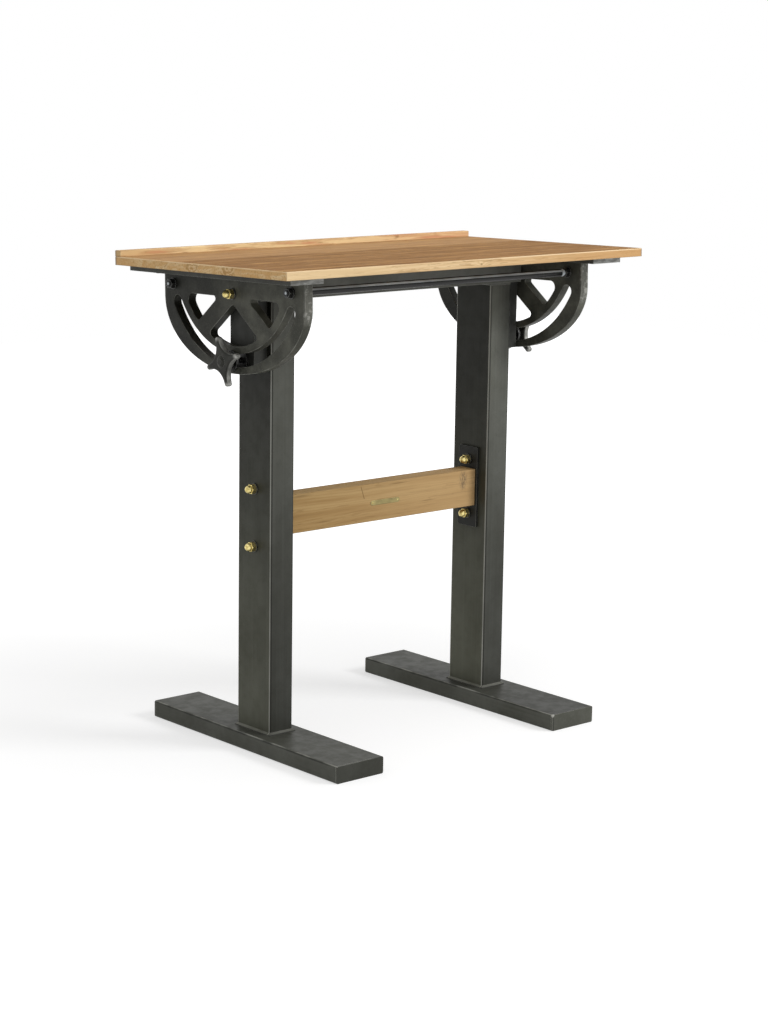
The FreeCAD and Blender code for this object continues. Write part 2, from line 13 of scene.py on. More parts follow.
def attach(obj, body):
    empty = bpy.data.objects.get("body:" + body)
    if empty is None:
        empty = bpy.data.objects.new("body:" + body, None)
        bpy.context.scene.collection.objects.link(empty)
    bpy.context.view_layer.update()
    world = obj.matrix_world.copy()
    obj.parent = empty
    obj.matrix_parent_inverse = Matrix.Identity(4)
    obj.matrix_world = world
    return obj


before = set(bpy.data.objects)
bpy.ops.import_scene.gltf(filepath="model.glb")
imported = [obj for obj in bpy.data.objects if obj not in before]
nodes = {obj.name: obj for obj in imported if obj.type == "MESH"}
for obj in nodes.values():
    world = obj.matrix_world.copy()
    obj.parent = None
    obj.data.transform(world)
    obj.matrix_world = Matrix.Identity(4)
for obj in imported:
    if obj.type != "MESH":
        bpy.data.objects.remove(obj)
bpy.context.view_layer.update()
scene = bpy.context.scene

# Places on the object, from its solids ---------------------------------------------------------
column_middle = 0.310        # X of the columns' and the feet's middle lines, to either side
column_half = (0.031, 0.056)
foot_half = (0.063, 0.318)
foot_high = 0.037
tube_corner = 0.004          # outer corner radius of the tubes
weld_top = 0.0422            # height up to which the weld at a column's foot is drawn
tilt_axis = 0.979            # height of the tilt axis
rest_tilt = math.radians(1.5)
top_over_axis = 0.067        # from the tilt axis up to the top face
top_half = 0.500
top_far, top_near = -0.303, 0.275   # Y of the top's long edges, when level
top_front = -0.3014          # Y of the top's far edge as it hangs at rest
board_thick = 0.018
tone_seam = 0.0604           # Y of the seam where the top changes its tone
ledge_wide, ledge_high = 0.019, 0.013
bar_end = -0.2705            # Y just inside the far end of the bars under the top
beam_face = -0.024           # Y of the stretcher's far face
clamp_high = 0.840           # height of the knobs' middles
casting_faces = (0.380, 0.401)   # X of a quadrant's inner and outer face, to either side
casting_wall = 0.2352        # just inside the Y of a quadrant's two side walls
casting_bend = 0.93          # height over which those walls are nearly upright
rods = ((-0.1935, 0.014), (0.2045, 0.009))   # Y of the tie rods and their rise over the axis, when level
rod_radius = 0.008
rod_half = 0.4155

# Camera ----------------------------------------------------------------------------------------
camera_place = Vector((-3.4276, -3.9534, 1.5136))
camera_yaw = math.radians(41.105)      # from +Y towards +X
camera_pitch = math.radians(-11.124)
camera_roll = math.radians(0.864)
camera_lens = 85.92                    # mm
camera_sensor = 36                     # mm


def add_camera():
    """The camera, at the photographed viewing angle."""
    data = bpy.data.cameras.new("camera")
    data.lens = camera_lens
    data.sensor_width = camera_sensor
    data.clip_end = 50
    camera = bpy.data.objects.new("camera", data)
    scene.collection.objects.link(camera)
    forward = Vector((math.sin(camera_yaw) * math.cos(camera_pitch),
                      math.cos(camera_yaw) * math.cos(camera_pitch), math.sin(camera_pitch)))
    level = forward.cross(Vector((0, 0, 1))).normalized()
    upright = level.cross(forward)
    right = level * math.cos(camera_roll) + upright * math.sin(camera_roll)
    up = upright * math.cos(camera_roll) - level * math.sin(camera_roll)
    turn = Matrix((right, up, -forward)).transposed()
    camera.matrix_world = Matrix.Translation(camera_place) @ turn.to_4x4()
    scene.camera = camera


# Node helpers ----------------------------------------------------------------------------------
class Finish:
    """One material and short calls that build its node tree. A mask runs from 0 to 1."""

    def __init__(self, name, edge=0.0):
        """A new material, with its edges rounded to a radius, for the shading and for worn_edges."""
        self.material = bpy.data.materials.new(name)
        self.material.use_nodes = True
        self.tree = self.material.node_tree
        self.shader = self.tree.nodes["Principled BSDF"]
        self.place = self.add("ShaderNodeTexCoord").outputs["Object"]
        parts = self.add("ShaderNodeSeparateXYZ")
        self.feed(parts.inputs[0], self.place)
        self.x, self.y, self.z = parts.outputs
        if edge:
            soft = self.add("ShaderNodeBevel", samples=6)
            soft.inputs["Radius"].default_value = edge
            self.rounded = soft.outputs[0]

    def add(self, kind, **settings):
        """A new node with its settings."""
        node = self.tree.nodes.new(kind)
        for name, value in settings.items():
            setattr(node, name, value)
        return node

    def feed(self, socket, value):
        """Link an output to a socket, or set the socket's own value."""
        if isinstance(value, bpy.types.NodeSocket):
            self.tree.links.new(value, socket)
        else:
            socket.default_value = value

    def set(self, **values):
        """Sockets of the shader by name, with _ for a space."""
        for name, value in values.items():
            self.feed(self.shader.inputs[name.replace("_", " ")], value)

    # Sums and masks
    def math(self, operation, a, b=0.0):
        """One math node on two outputs or numbers."""
        node = self.add("ShaderNodeMath", operation=operation)
        self.feed(node.inputs[0], a)
        self.feed(node.inputs[1], b)
        return node.outputs[0]

    def fold(self, operation, values):
        """The same operation from the first value to the last."""
        result = values[0]
        for value in values[1:]:
            result = self.math(operation, result, value)
        return result

    def times(self, *values):
        return self.fold("MULTIPLY", values)

    def plus(self, *values):
        return self.fold("ADD", values)

    def minus(self, *values):
        """The first value less all the others."""
        return self.fold("SUBTRACT", values)

    def either(self, *masks):
        """The greatest of several masks."""
        return self.fold("MAXIMUM", masks)

    def absolute(self, value):
        return self.math("ABSOLUTE", value)

    def span(self, value, low, high, to_low=0.0, to_high=1.0):
        """Map low..high to another range, with soft ends."""
        node = self.add("ShaderNodeMapRange", interpolation_type="SMOOTHSTEP")
        self.feed(node.inputs["Value"], value)
        for name, number in (("From Min", low), ("From Max", high), ("To Min", to_low), ("To Max", to_high)):
            node.inputs[name].default_value = number
        return node.outputs[0]

    def line(self, value, middle, reach, core):
        """1 within the core to either side of the middle, fading to 0 at the reach."""
        return self.span(self.absolute(self.minus(value, middle)), reach, core)

    def corner(self, value, middle, half):
        """How far round a tube's corner a value lies: 0 where the flat face ends, 1 at the next face."""
        off = self.absolute(self.minus(self.absolute(value), middle))
        return self.math("DIVIDE", self.minus(off, half - tube_corner), tube_corner)

    # Coordinates
    def stretch(self, scale, shift=(0, 0, 0), turn=(0, 0, 0)):
        """The object's coordinates, scaled along each axis, shifted and turned."""
        node = self.add("ShaderNodeMapping")
        self.feed(node.inputs["Vector"], self.place)
        node.inputs["Scale"].default_value = scale
        node.inputs["Location"].default_value = shift
        node.inputs["Rotation"].default_value = turn
        return node.outputs[0]

    def along(self, direction):
        """How far a place lies along a direction, from the origin."""
        dot = self.add("ShaderNodeVectorMath", operation="DOT_PRODUCT")
        self.feed(dot.inputs[0], self.place)
        dot.inputs[1].default_value = direction
        return dot.outputs["Value"]

    def distance(self, point, squeeze):
        """The distance from a point; an axis counts less with a squeeze under 1, and not at all with 0."""
        gap = self.add("ShaderNodeVectorMath", operation="DISTANCE")
        self.feed(gap.inputs[0], self.stretch(squeeze))
        gap.inputs[1].default_value = tuple(p * s for p, s in zip(point, squeeze))
        return gap.outputs["Value"]

    def spot(self, point, reach, core, squeeze=(1, 1, 1)):
        """1 within a point's core, fading to 0 at its reach; a squeeze under 1 makes it longer that way."""
        return self.span(self.distance(point, squeeze), reach, core)

    # Noise
    def noise(self, vector, scale, detail, roughness, distortion=0.0):
        node = self.add("ShaderNodeTexNoise")
        self.feed(node.inputs["Vector"], vector)
        for name, number in (("Scale", scale), ("Detail", detail), ("Roughness", roughness),
                             ("Distortion", distortion)):
            node.inputs[name].default_value = number
        return node.outputs[0]

    def streaky(self, scale, shift, detail, roughness, turn=(0, 0, 0), distortion=0.0):
        """Noise with its own scale along each axis."""
        return self.noise(self.stretch(scale, shift, turn), 1, detail, roughness, distortion)

    # Colour
    def mix(self, share, first, second, blend="MIX"):
        """A mix of two colours."""
        node = self.add("ShaderNodeMix", data_type="RGBA", blend_type=blend)
        self.feed(node.inputs[0], share)
        for socket, value in ((node.inputs[6], first), (node.inputs[7], second)):
            self.feed(socket, value if isinstance(value, bpy.types.NodeSocket) else (*value, 1))
        return node.outputs[2]

    def paint(self, base, colour, *masks):
        """A colour over the base, as far as all the masks and shares let it."""
        return self.mix(self.times(*masks), base, colour)

    def shaded(self, base, factor, blue=1.0):
        """A colour times a factor, with its blue times a second one."""
        tone = self.add("ShaderNodeCombineColor")
        for channel in tone.inputs[:2]:
            self.feed(channel, factor)
        self.feed(tone.inputs[2], self.times(factor, blue))
        return self.mix(1.0, base, tone.outputs[0], "MULTIPLY")

    # Edges and relief
    def worn_edges(self, least=0.99, most=0.88):
        """1 on sharp edges and 0 on flat faces, within the radius of the rounding."""
        hard = self.add("ShaderNodeNewGeometry")
        dot = self.add("ShaderNodeVectorMath", operation="DOT_PRODUCT")
        self.feed(dot.inputs[0], self.rounded)
        self.feed(dot.inputs[1], hard.outputs["Normal"])
        return self.span(dot.outputs["Value"], least, most)

    def done(self, base, height, strength, depth):
        """The material, with its colour and its relief."""
        self.set(Base_Color=base)
        bump = self.add("ShaderNodeBump")
        bump.inputs["Strength"].default_value = strength
        bump.inputs["Distance"].default_value = depth
        self.feed(bump.inputs["Height"], height)
        self.feed(bump.inputs["Normal"], self.rounded)
        self.feed(self.shader.inputs["Normal"], bump.outputs[0])
        return self.material


# Steel and iron --------------------------------------------------------------------------------
# Pale steel of worn edges, also used for painted highlights
wear_and_highlight_steel = (0.40, 0.40, 0.36)
dark_steel = (0.012, 0.012, 0.010)
steel_relief = (0.10, 0.0006)    # strength and depth
hole_shade_place = (0.004, 0.803)     # Y and Z of a hole's painted shade on the left column's outer face


def steel_base(finish, grain, seed):
    """Dark lacquered mill steel: faint streaks, soft cloudy patches and specks."""
    streaks = finish.streaky(grain, (seed, 0, 0), 4, 0.55)
    clouds = finish.noise(finish.stretch((1, 1, 0.7), (seed, seed, 0)), 9, 3, 0.5)
    mottle = finish.noise(finish.stretch((1, 1, 1), (0, seed, 2)), 42, 3, 0.6)
    specks = finish.noise(finish.place, 380, 2, 0.5)
    base = finish.mix(finish.span(clouds, 0.32, 0.70), (0.055, 0.056, 0.045), (0.081, 0.083, 0.070))
    base = finish.paint(base, (0.092, 0.095, 0.080), finish.span(streaks, 0.40, 0.75, 0, 0.35))
    base = finish.paint(base, (0.040, 0.042, 0.032), finish.span(mottle, 0.45, 0.72, 0, 0.16))
    base = finish.paint(base, (0.022, 0.023, 0.019), finish.span(specks, 0.60, 0.74, 0, 0.22))
    finish.set(Metallic=0.05, Specular_IOR_Level=0.16, Roughness=finish.span(mottle, 0.3, 0.7, 0.42, 0.54))
    relief = finish.plus(finish.times(streaks, 0.6), finish.times(specks, 0.8))
    return base, relief, clouds


def column_finish():
    """The columns: painted light and shade from foot to cap, a worn line with a painted highlight and a
    painted shade line down each corner, the weld, a painted shadow at its toe, and a dark spot painted as the
    shade of a hole.
    """
    finish = Finish("steel_column", 0.0012)
    base, relief, clouds = steel_base(finish, (150, 150, 1.6), 3)
    across = finish.corner(finish.x, column_middle, column_half[0])
    along = finish.corner(finish.y, 0, column_half[1])

    # Painted light and shade: the faces that look along X darken upwards, and those that look along Y grow
    # paler
    side = finish.span(across, 0.96, 0.99)
    front = finish.minus(1.0, side)
    shade = finish.plus(finish.times(side, finish.span(finish.z, 0.10, 0.85, 1.42, 0.28)),
                        finish.times(front, finish.span(finish.z, 0.20, 0.90, 0.80, 1.50)))

    # Painted light and shade near the top of the right column: the second kind is palest to the left and dark
    # to the right
    upper = finish.times(finish.span(finish.x, 0.26, 0.27), finish.span(finish.z, 0.66, 0.86), front)
    shade = finish.plus(shade, finish.times(upper, finish.span(finish.x, 0.284, 0.338, 0.75, -0.55)))
    # Painted light: the right column is lighter than the left one
    shade = finish.times(shade, finish.span(finish.x, -0.1, 0.1, 0.94, 1.12))
    base = finish.shaded(base, shade, finish.span(side, 0, 1, 1.03, 0.90))

    # Down each corner: a worn line that is also a painted highlight, with a painted shade line beside it
    bright = finish.times(finish.span(across, 0.05, 0.3), finish.span(along, 0.0, 0.25),
                          finish.span(along, 0.82, 0.62))
    dark = finish.times(finish.span(across, -0.2, 0.1), finish.span(along, 0.72, 0.86))
    base = finish.paint(base, dark_steel, dark, 0.7)
    base = finish.paint(base, wear_and_highlight_steel, bright, finish.span(clouds, 0.25, 0.6, 0.55, 1.0))
    base = finish.paint(base, wear_and_highlight_steel, finish.worn_edges(), finish.span(clouds, 0.3, 0.6, 0.2, 0.8))

    # Weld, a painted shadow at its toe on the foot, and a dark spot painted as the shade of a hole in the left
    # column
    weld = finish.span(finish.z, weld_top + 0.0010, weld_top)
    toe = finish.span(finish.z, foot_high + 0.0022, foot_high + 0.0008)
    hole_shade_spot = finish.spot((-column_middle - column_half[0], *hole_shade_place), 0.013, 0.003, (1, 1, 0.75))
    base = finish.paint(base, (0.17, 0.17, 0.145), weld, finish.span(clouds, 0.30, 0.65, 0.30, 0.80))
    base = finish.paint(base, dark_steel, toe, 0.8)
    base = finish.paint(base, dark_steel, hole_shade_spot, 0.65)
    ripple = finish.math("SINE", finish.times(finish.plus(finish.x, finish.y), 2100))
    return finish.done(base, finish.plus(relief, finish.times(weld, ripple, 1.2)), *steel_relief)


def foot_finish():
    """The feet: painted light and shade on the upper faces and walls, worn and dark lines along the upper
    edges, painted shade on the left far end and on the right top near it, and a chip on one corner.
    """
    finish = Finish("steel_foot", 0.0015)
    base, relief, _ = steel_base(finish, (150, 1.6, 150), 7)
    across = finish.corner(finish.x, column_middle, foot_half[0])
    rise = finish.math("DIVIDE", finish.minus(finish.z, foot_high - tube_corner), tube_corner)

    # Painted light and shade: the upper faces and the walls get their own brightness on each foot
    level = finish.span(rise, 0.88, 0.98)
    right_foot = finish.span(finish.x, -0.1, 0.1)
    left_painted_light = finish.times(finish.minus(1.0, right_foot), finish.span(level, 0, 1, 1.28, 0.86))
    right_painted_light = finish.times(right_foot, finish.span(level, 0, 1, 1.42, 0.78))
    base = finish.shaded(base, finish.plus(left_painted_light, right_painted_light))

    # Lines along the upper edges
    patch = finish.noise(finish.stretch((1, 0.6, 1), (4, 0, 0)), 24, 3, 0.5)
    dark = finish.times(finish.span(across, 0.55, 0.8), finish.span(rise, -0.1, 0.2),
                        finish.span(patch, 0.62, 0.42))
    bright = finish.times(finish.span(rise, 0.60, 0.78), finish.span(across, 0.0, 0.25),
                          finish.span(patch, 0.40, 0.60))
    base = finish.paint(base, dark_steel, dark, 0.75)
    base = finish.paint(base, wear_and_highlight_steel, bright, 0.6)
    base = finish.paint(base, wear_and_highlight_steel, finish.worn_edges(), finish.span(patch, 0.35, 0.6, 0.15, 0.8))

    # Far ends: painted shade on the left one, and the right one has the cap's joint line, a chip and a painted
    # shadow on its top
    end = finish.span(finish.y, -foot_half[1] + 0.0012, -foot_half[1] + 0.0004)
    wall = column_middle - foot_half[0]
    joint = finish.times(end, finish.line(finish.x, wall + 0.0042, 0.0018, 0.0006))
    shadow = finish.times(right_foot, finish.span(finish.y, -0.08, -0.20), level)
    chip = finish.spot((wall + 0.001, -foot_half[1], foot_high), 0.007, 0.003)
    base = finish.paint(base, dark_steel, end, finish.span(finish.x, 0.0, -0.1, 0.0, 0.45))
    base = finish.paint(base, dark_steel, joint, 0.7)
    base = finish.paint(base, dark_steel, shadow, 0.42)
    base = finish.paint(base, (0.55, 0.55, 0.50), chip, 0.9)
    return finish.done(base, relief, *steel_relief)


def steel_finish(name, seed, tint, sawn_end=None):
    """Plates, angles and brackets of the same steel, rubbed along their edges, and pale on a sawn end: cut
    metal, painted paler still as painted light in the shade under the top.
    """
    finish = Finish(name, 0.0014)
    base, relief, clouds = steel_base(finish, (45, 45, 45), seed)
    base = finish.mix(1.0, base, (tint, tint, tint * 1.08), "MULTIPLY")
    # A sawn end of cut metal, painted pale also as painted light where it sits in shade under the top
    if sawn_end:
        cuts = finish.streaky((30, 3, 90), (seed, 0, 0), 3, 0.6)
        base = finish.paint(base, (0.62, 0.64, 0.62), finish.span(finish.y, sawn_end + 0.0008, sawn_end),
                            finish.span(cuts, 0.35, 0.6, 0.35, 1.0))
    base = finish.paint(base, wear_and_highlight_steel, finish.worn_edges(), finish.span(clouds, 0.3, 0.6, 0.24, 0.80))
    return finish.done(base, relief, *steel_relief)


def casting_base(finish):
    """Satin black on sand-cast iron, pitted and slightly lumpy."""
    grain = finish.noise(finish.place, 560, 4, 0.6)
    lumps = finish.noise(finish.place, 75, 3, 0.6)
    patches = finish.noise(finish.place, 18, 4, 0.6)
    base = finish.mix(finish.span(patches, 0.35, 0.7), (0.025, 0.0253, 0.0210), (0.058, 0.0585, 0.0495))
    base = finish.paint(base, (0.115, 0.115, 0.102), finish.span(grain, 0.56, 0.74, 0, 0.6))
    finish.set(Metallic=0.1, Specular_IOR_Level=0.14, Roughness=finish.span(grain, 0.3, 0.7, 0.38, 0.56))
    return base, finish.plus(grain, finish.times(lumps, 1.8)), grain, patches


def quadrant_finish():
    """The quadrants: painted light that grows paler towards the far end, rubbed on the side walls, and a worn
    line with painted highlight along the edges.
    """
    finish = Finish("cast_quadrant", 0.0016)
    base, relief, grain, _ = casting_base(finish)
    # Painted light: paler towards the far end
    base = finish.shaded(base, finish.span(finish.y, 0.21, -0.12, 0.55, 2.05), 0.95)
    walls = finish.times(finish.span(finish.absolute(finish.y), casting_wall - 0.0052, casting_wall),
                         finish.span(finish.z, casting_bend - 0.03, casting_bend))
    scuffs = finish.noise(finish.stretch((1, 1, 1), (5, 0, 0)), 60, 4, 0.65)
    base = finish.paint(base, (0.17, 0.17, 0.150), walls, finish.span(grain, 0.35, 0.6, 0.25, 0.8))
    base = finish.paint(base, (0.42, 0.42, 0.38), walls, finish.span(scuffs, 0.50, 0.62, 0.0, 0.7))
    out = finish.absolute(finish.x)
    edges = []    # a fine worn line round each flat face, also a painted highlight, where the casting's edge turns
    for face, inward in zip(casting_faces, (1, -1)):
        edges.append(finish.times(finish.span(out, face + inward * 0.0018, face + inward * 0.0012),
                                  finish.span(out, face + inward * 0.00003, face + inward * 0.0003)))
    rubbed = finish.span(finish.noise(finish.place, 34, 3, 0.6), 0.36, 0.66, 0.12, 1.0)
    base = finish.paint(base, (0.28, 0.28, 0.25), finish.either(*edges), rubbed)
    return finish.done(base, relief, 0.30, 0.0007)


def knob_finish():
    """The star knobs: bright metal on the arms, worn along the edges, and with painted highlights, partly
    wear, at the arm ends and on the side walls.
    """
    finish = Finish("cast_knob", 0.0016)
    base, relief, _, patches = casting_base(finish)
    reach = finish.distance((0, 0, clamp_high), (0, 1, 1))
    lumps = finish.noise(finish.place, 95, 3, 0.6)
    facing = finish.add("ShaderNodeSeparateXYZ")
    finish.feed(facing.inputs[0], finish.add("ShaderNodeTexCoord").outputs["Normal"])
    # Bright metal: worn edges, and painted highlights, partly wear, at the arm ends and on the side walls
    edges = finish.times(finish.worn_edges(0.985, 0.90), finish.span(lumps, 0.35, 0.6, 0.15, 1.0))
    tip_highlights = finish.times(finish.span(reach, 0.040, 0.052), finish.span(patches, 0.35, 0.65, 0.35, 1.0))
    walls = finish.times(finish.span(finish.absolute(facing.outputs[0]), 0.80, 0.40),
                         finish.span(patches, 0.30, 0.60, 0.30, 0.90), finish.span(reach, 0.018, 0.030))
    bare_and_highlight = finish.either(edges, tip_highlights, walls)
    base = finish.paint(base, (0.45, 0.45, 0.42), bare_and_highlight)
    finish.set(Metallic=finish.times(bare_and_highlight, 0.7))
    return finish.done(base, relief, 0.22, 0.0006)


def hardware_finish():
    """Blackened steel of bolts, studs, washers and screws, worn along its edges."""
    finish = Finish("steel_blackened", 0.0007)
    smudge = finish.noise(finish.place, 150, 3, 0.6)
    base = finish.mix(finish.span(smudge, 0.35, 0.7), (0.012, 0.012, 0.011), (0.035, 0.035, 0.033))
    base = finish.paint(base, (0.5, 0.5, 0.47), finish.worn_edges(), 0.7)
    finish.set(Metallic=0.3, Specular_IOR_Level=0.5, Roughness=finish.span(smudge, 0.3, 0.7, 0.32, 0.44))
    return finish.done(base, smudge, 0.05, 0.0002)


bright_ends_from = 0.355                # X, to either side, where the rods' bright ends begin: uncoated metal with a painted highlight
highlight_rise = math.radians(40)     # of the rods' painted highlight lines, up from level


def rod_finish():
    """The tie rods: dark lacquer, a painted highlight line along them, painted shade along the top, and bright
    metal near both ends, partly a painted highlight.
    """
    finish = Finish("steel_rod", 0.0006)
    drawn = finish.streaky((3, 400, 400), (0, 0, 0), 2, 0.5)
    base = finish.mix(finish.span(drawn, 0.3, 0.7), (0.007, 0.007, 0.0065), (0.014, 0.014, 0.013))
    out = finish.absolute(finish.x)
    bare_and_highlight = finish.times(finish.span(out, bright_ends_from, bright_ends_from + 0.005),
                        finish.span(out, casting_faces[0] + 0.001, casting_faces[0] - 0.002))
    tip_highlights = []      # painted highlights at the middles of the end faces
    lines = []     # painted highlight lines along the outward side
    crown_shades = []    # painted shade along the top, which stays dark
    for (y, rise), outward in zip(rods, (-1, 1)):
        middle_y = y * math.cos(rest_tilt) + rise * math.sin(rest_tilt)
        middle_z = tilt_axis - y * math.sin(rest_tilt) + rise * math.cos(rest_tilt)
        for side in (-1, 1):
            tip_highlights.append(finish.spot((side * rod_half, middle_y, middle_z), 0.0040, 0.0022))
        towards = (outward * math.cos(highlight_rise), math.sin(highlight_rise))
        height = finish.along((0, *towards))
        surface = middle_y * towards[0] + middle_z * towards[1] + rod_radius
        lines.append(finish.times(finish.span(height, surface - 0.00060, surface - 0.00030),
                                  finish.span(height, surface + 0.002, surface + 0.001)))
        crown_shades.append(finish.times(finish.span(finish.z, middle_z + 0.0064, middle_z + 0.0070),
                                   finish.line(finish.y, middle_y, 0.010, 0.009)))
    crown_shade = finish.either(*crown_shades)
    patchy = finish.span(finish.streaky((14, 1, 1), (0, 0, 0), 2, 0.5), 0.3, 0.7, 0.55, 1.0)
    bright = finish.either(bare_and_highlight, *tip_highlights, finish.times(finish.either(*lines), patchy),
                           finish.times(finish.worn_edges(), 0.5))
    base = finish.paint(base, (0.86, 0.93, 0.96), bright)
    base = finish.paint(base, (0.003, 0.003, 0.003), crown_shade, finish.minus(0.9, bare_and_highlight))
    polish = finish.span(drawn, 0.3, 0.7, 0.26, 0.36)
    finish.set(Specular_IOR_Level=0.22, Roughness=finish.plus(polish, finish.times(crown_shade, 0.4)))
    return finish.done(base, drawn, 0.03, 0.0002)


def brass_finish(name, pale, dull, cloud, relief):
    """Satin brass with faint clouds of tarnish."""
    finish = Finish(name, 0.0006)
    tarnish = finish.noise(finish.place, cloud, 3, 0.6)
    base = finish.mix(finish.span(tarnish, 0.40, 0.68), pale, dull)
    finish.set(Metallic=1.0, Roughness=finish.span(tarnish, 0.3, 0.7, 0.30, 0.48))
    return finish.done(base, finish.noise(finish.place, 700, 2, 0.5), relief, 0.0003)


# Wood ------------------------------------------------------------------------------------------
# Light, dark and deep tones of the top's edges, its face on both sides of the tone's seam, its sawn
# ends, and the stretcher.
edge_tones = ((0.88, 0.66, 0.39), (0.64, 0.41, 0.20), (0.36, 0.20, 0.08))
face_tones = ((0.385, 0.208, 0.076), (0.225, 0.108, 0.032), (0.105, 0.048, 0.014))
rose_tones = ((0.52, 0.315, 0.142), (0.36, 0.195, 0.080), (0.19, 0.095, 0.036))
end_tones = ((1.0, 0.79, 0.47), (0.77, 0.46, 0.19), (0.37, 0.185, 0.065))
beam_tones = ((0.55, 0.375, 0.172), (0.40, 0.245, 0.098), (0.22, 0.128, 0.050))
wood_relief = (0.22, 0.0004)     # strength and depth

# X, Z, reach and squeeze along X of the dark streaks on the stretcher
beam_streaks = ((-0.235, 0.5395, 0.0040, 0.08), (0.040, 0.5375, 0.0028, 0.07),
                (-0.170, 0.476, 0.0026, 0.07), (0.130, 0.489, 0.0020, 0.06))
smudge_place = (0.237, 0.523)    # X and Z of the smudge on the stretcher
crack_x, crack_z = -0.0615, 0.527
crack_low, crack_high = 0.511, 0.543
crack_lean = 0.35                # X against Z


def grain_of(finish, seed, pith, ring, lean, knots=()):
    """Masks of a solid block of wood: late rings round a leaning pith, fibres, pores, tone and knots."""
    wander = finish.streaky((0.9, 7, 7), (seed, 0, 0), 3, 0.55)
    ripple = finish.streaky((3.5, 30, 30), (seed, 2, 0), 3, 0.55)
    across = finish.minus(finish.y, pith[0], finish.times(finish.x, lean[0]))
    down = finish.minus(finish.z, pith[1], finish.times(finish.x, lean[1]))
    far = finish.math("SQRT", finish.plus(finish.times(across, across), finish.times(down, down)))
    far = finish.plus(far, finish.times(wander, 0.075), finish.times(ripple, 0.010))
    heart = 0.0
    for point, size, squeeze in knots:
        swell = finish.spot(point, size * 4.0, 0.0, squeeze)
        far = finish.plus(far, finish.times(swell, size * 2.0))
        heart = finish.either(heart, finish.spot(point, size, size * 0.25, squeeze))
    phase = finish.math("FRACT", finish.math("DIVIDE", far, ring))
    veins = finish.streaky((3.2, 26, 60), (seed, 1, 2), 3, 0.55, (0, 0.05, 0))
    return {
        "late": finish.times(finish.span(phase, 0.30, 0.92), finish.span(phase, 1.0, 0.94)),
        "fibres": finish.streaky((14, 620, 620), (seed, 0, 0), 4, 0.65),
        "pores": finish.streaky((28, 1150, 1150), (seed, 5, 0), 2, 0.5),
        "streaks": finish.streaky((4.5, 150, 150), (seed, 7, 3), 3, 0.6),
        "bands": finish.streaky((2.4, 50, 50), (seed, 4, 6), 4, 0.6),
        "veins": finish.line(veins, 0.5, 0.014, 0.002),
        "tone": finish.streaky((1.6, 18, 18), (seed, 9, 0), 3, 0.5),
        "heart": heart,
    }


def wood_surface(finish, grain, tones, strength=1.0, figure=1.0):
    """Colour and relief from the masks of grain_of, in three tones."""
    light, dark, deep = tones
    base = finish.mix(finish.span(grain["tone"], 0.30, 0.70), light, finish.mix(0.5, light, dark))
    layers = (
        (dark, finish.span(grain["bands"], 0.42, 0.62, 0, 0.85 * strength), figure),
        (deep, finish.span(grain["bands"], 0.58, 0.72, 0, 0.60 * strength), figure),
        (deep, grain["veins"], 0.55 * strength),
        (dark, grain["late"], 0.50 * strength),
        (dark, finish.span(grain["fibres"], 0.38, 0.72, 0, 0.40 * strength)),
        (deep, finish.span(grain["streaks"], 0.58, 0.76, 0, 0.62 * strength)),
        (deep, finish.span(grain["pores"], 0.66, 0.75, 0, 0.42 * strength)),
        (finish.mix(0.35, deep, (0.03, 0.02, 0.012)), grain["heart"], 0.85),
    )
    for colour, *masks in layers:
        base = finish.paint(base, colour, *masks)
    finish.set(Specular_IOR_Level=0.02, Roughness=finish.span(grain["fibres"], 0.3, 0.7, 0.50, 0.66))
    relief = finish.minus(finish.times(grain["fibres"], 0.6), finish.times(grain["late"], 0.3),
                          finish.span(grain["pores"], 0.64, 0.74))
    return base, relief


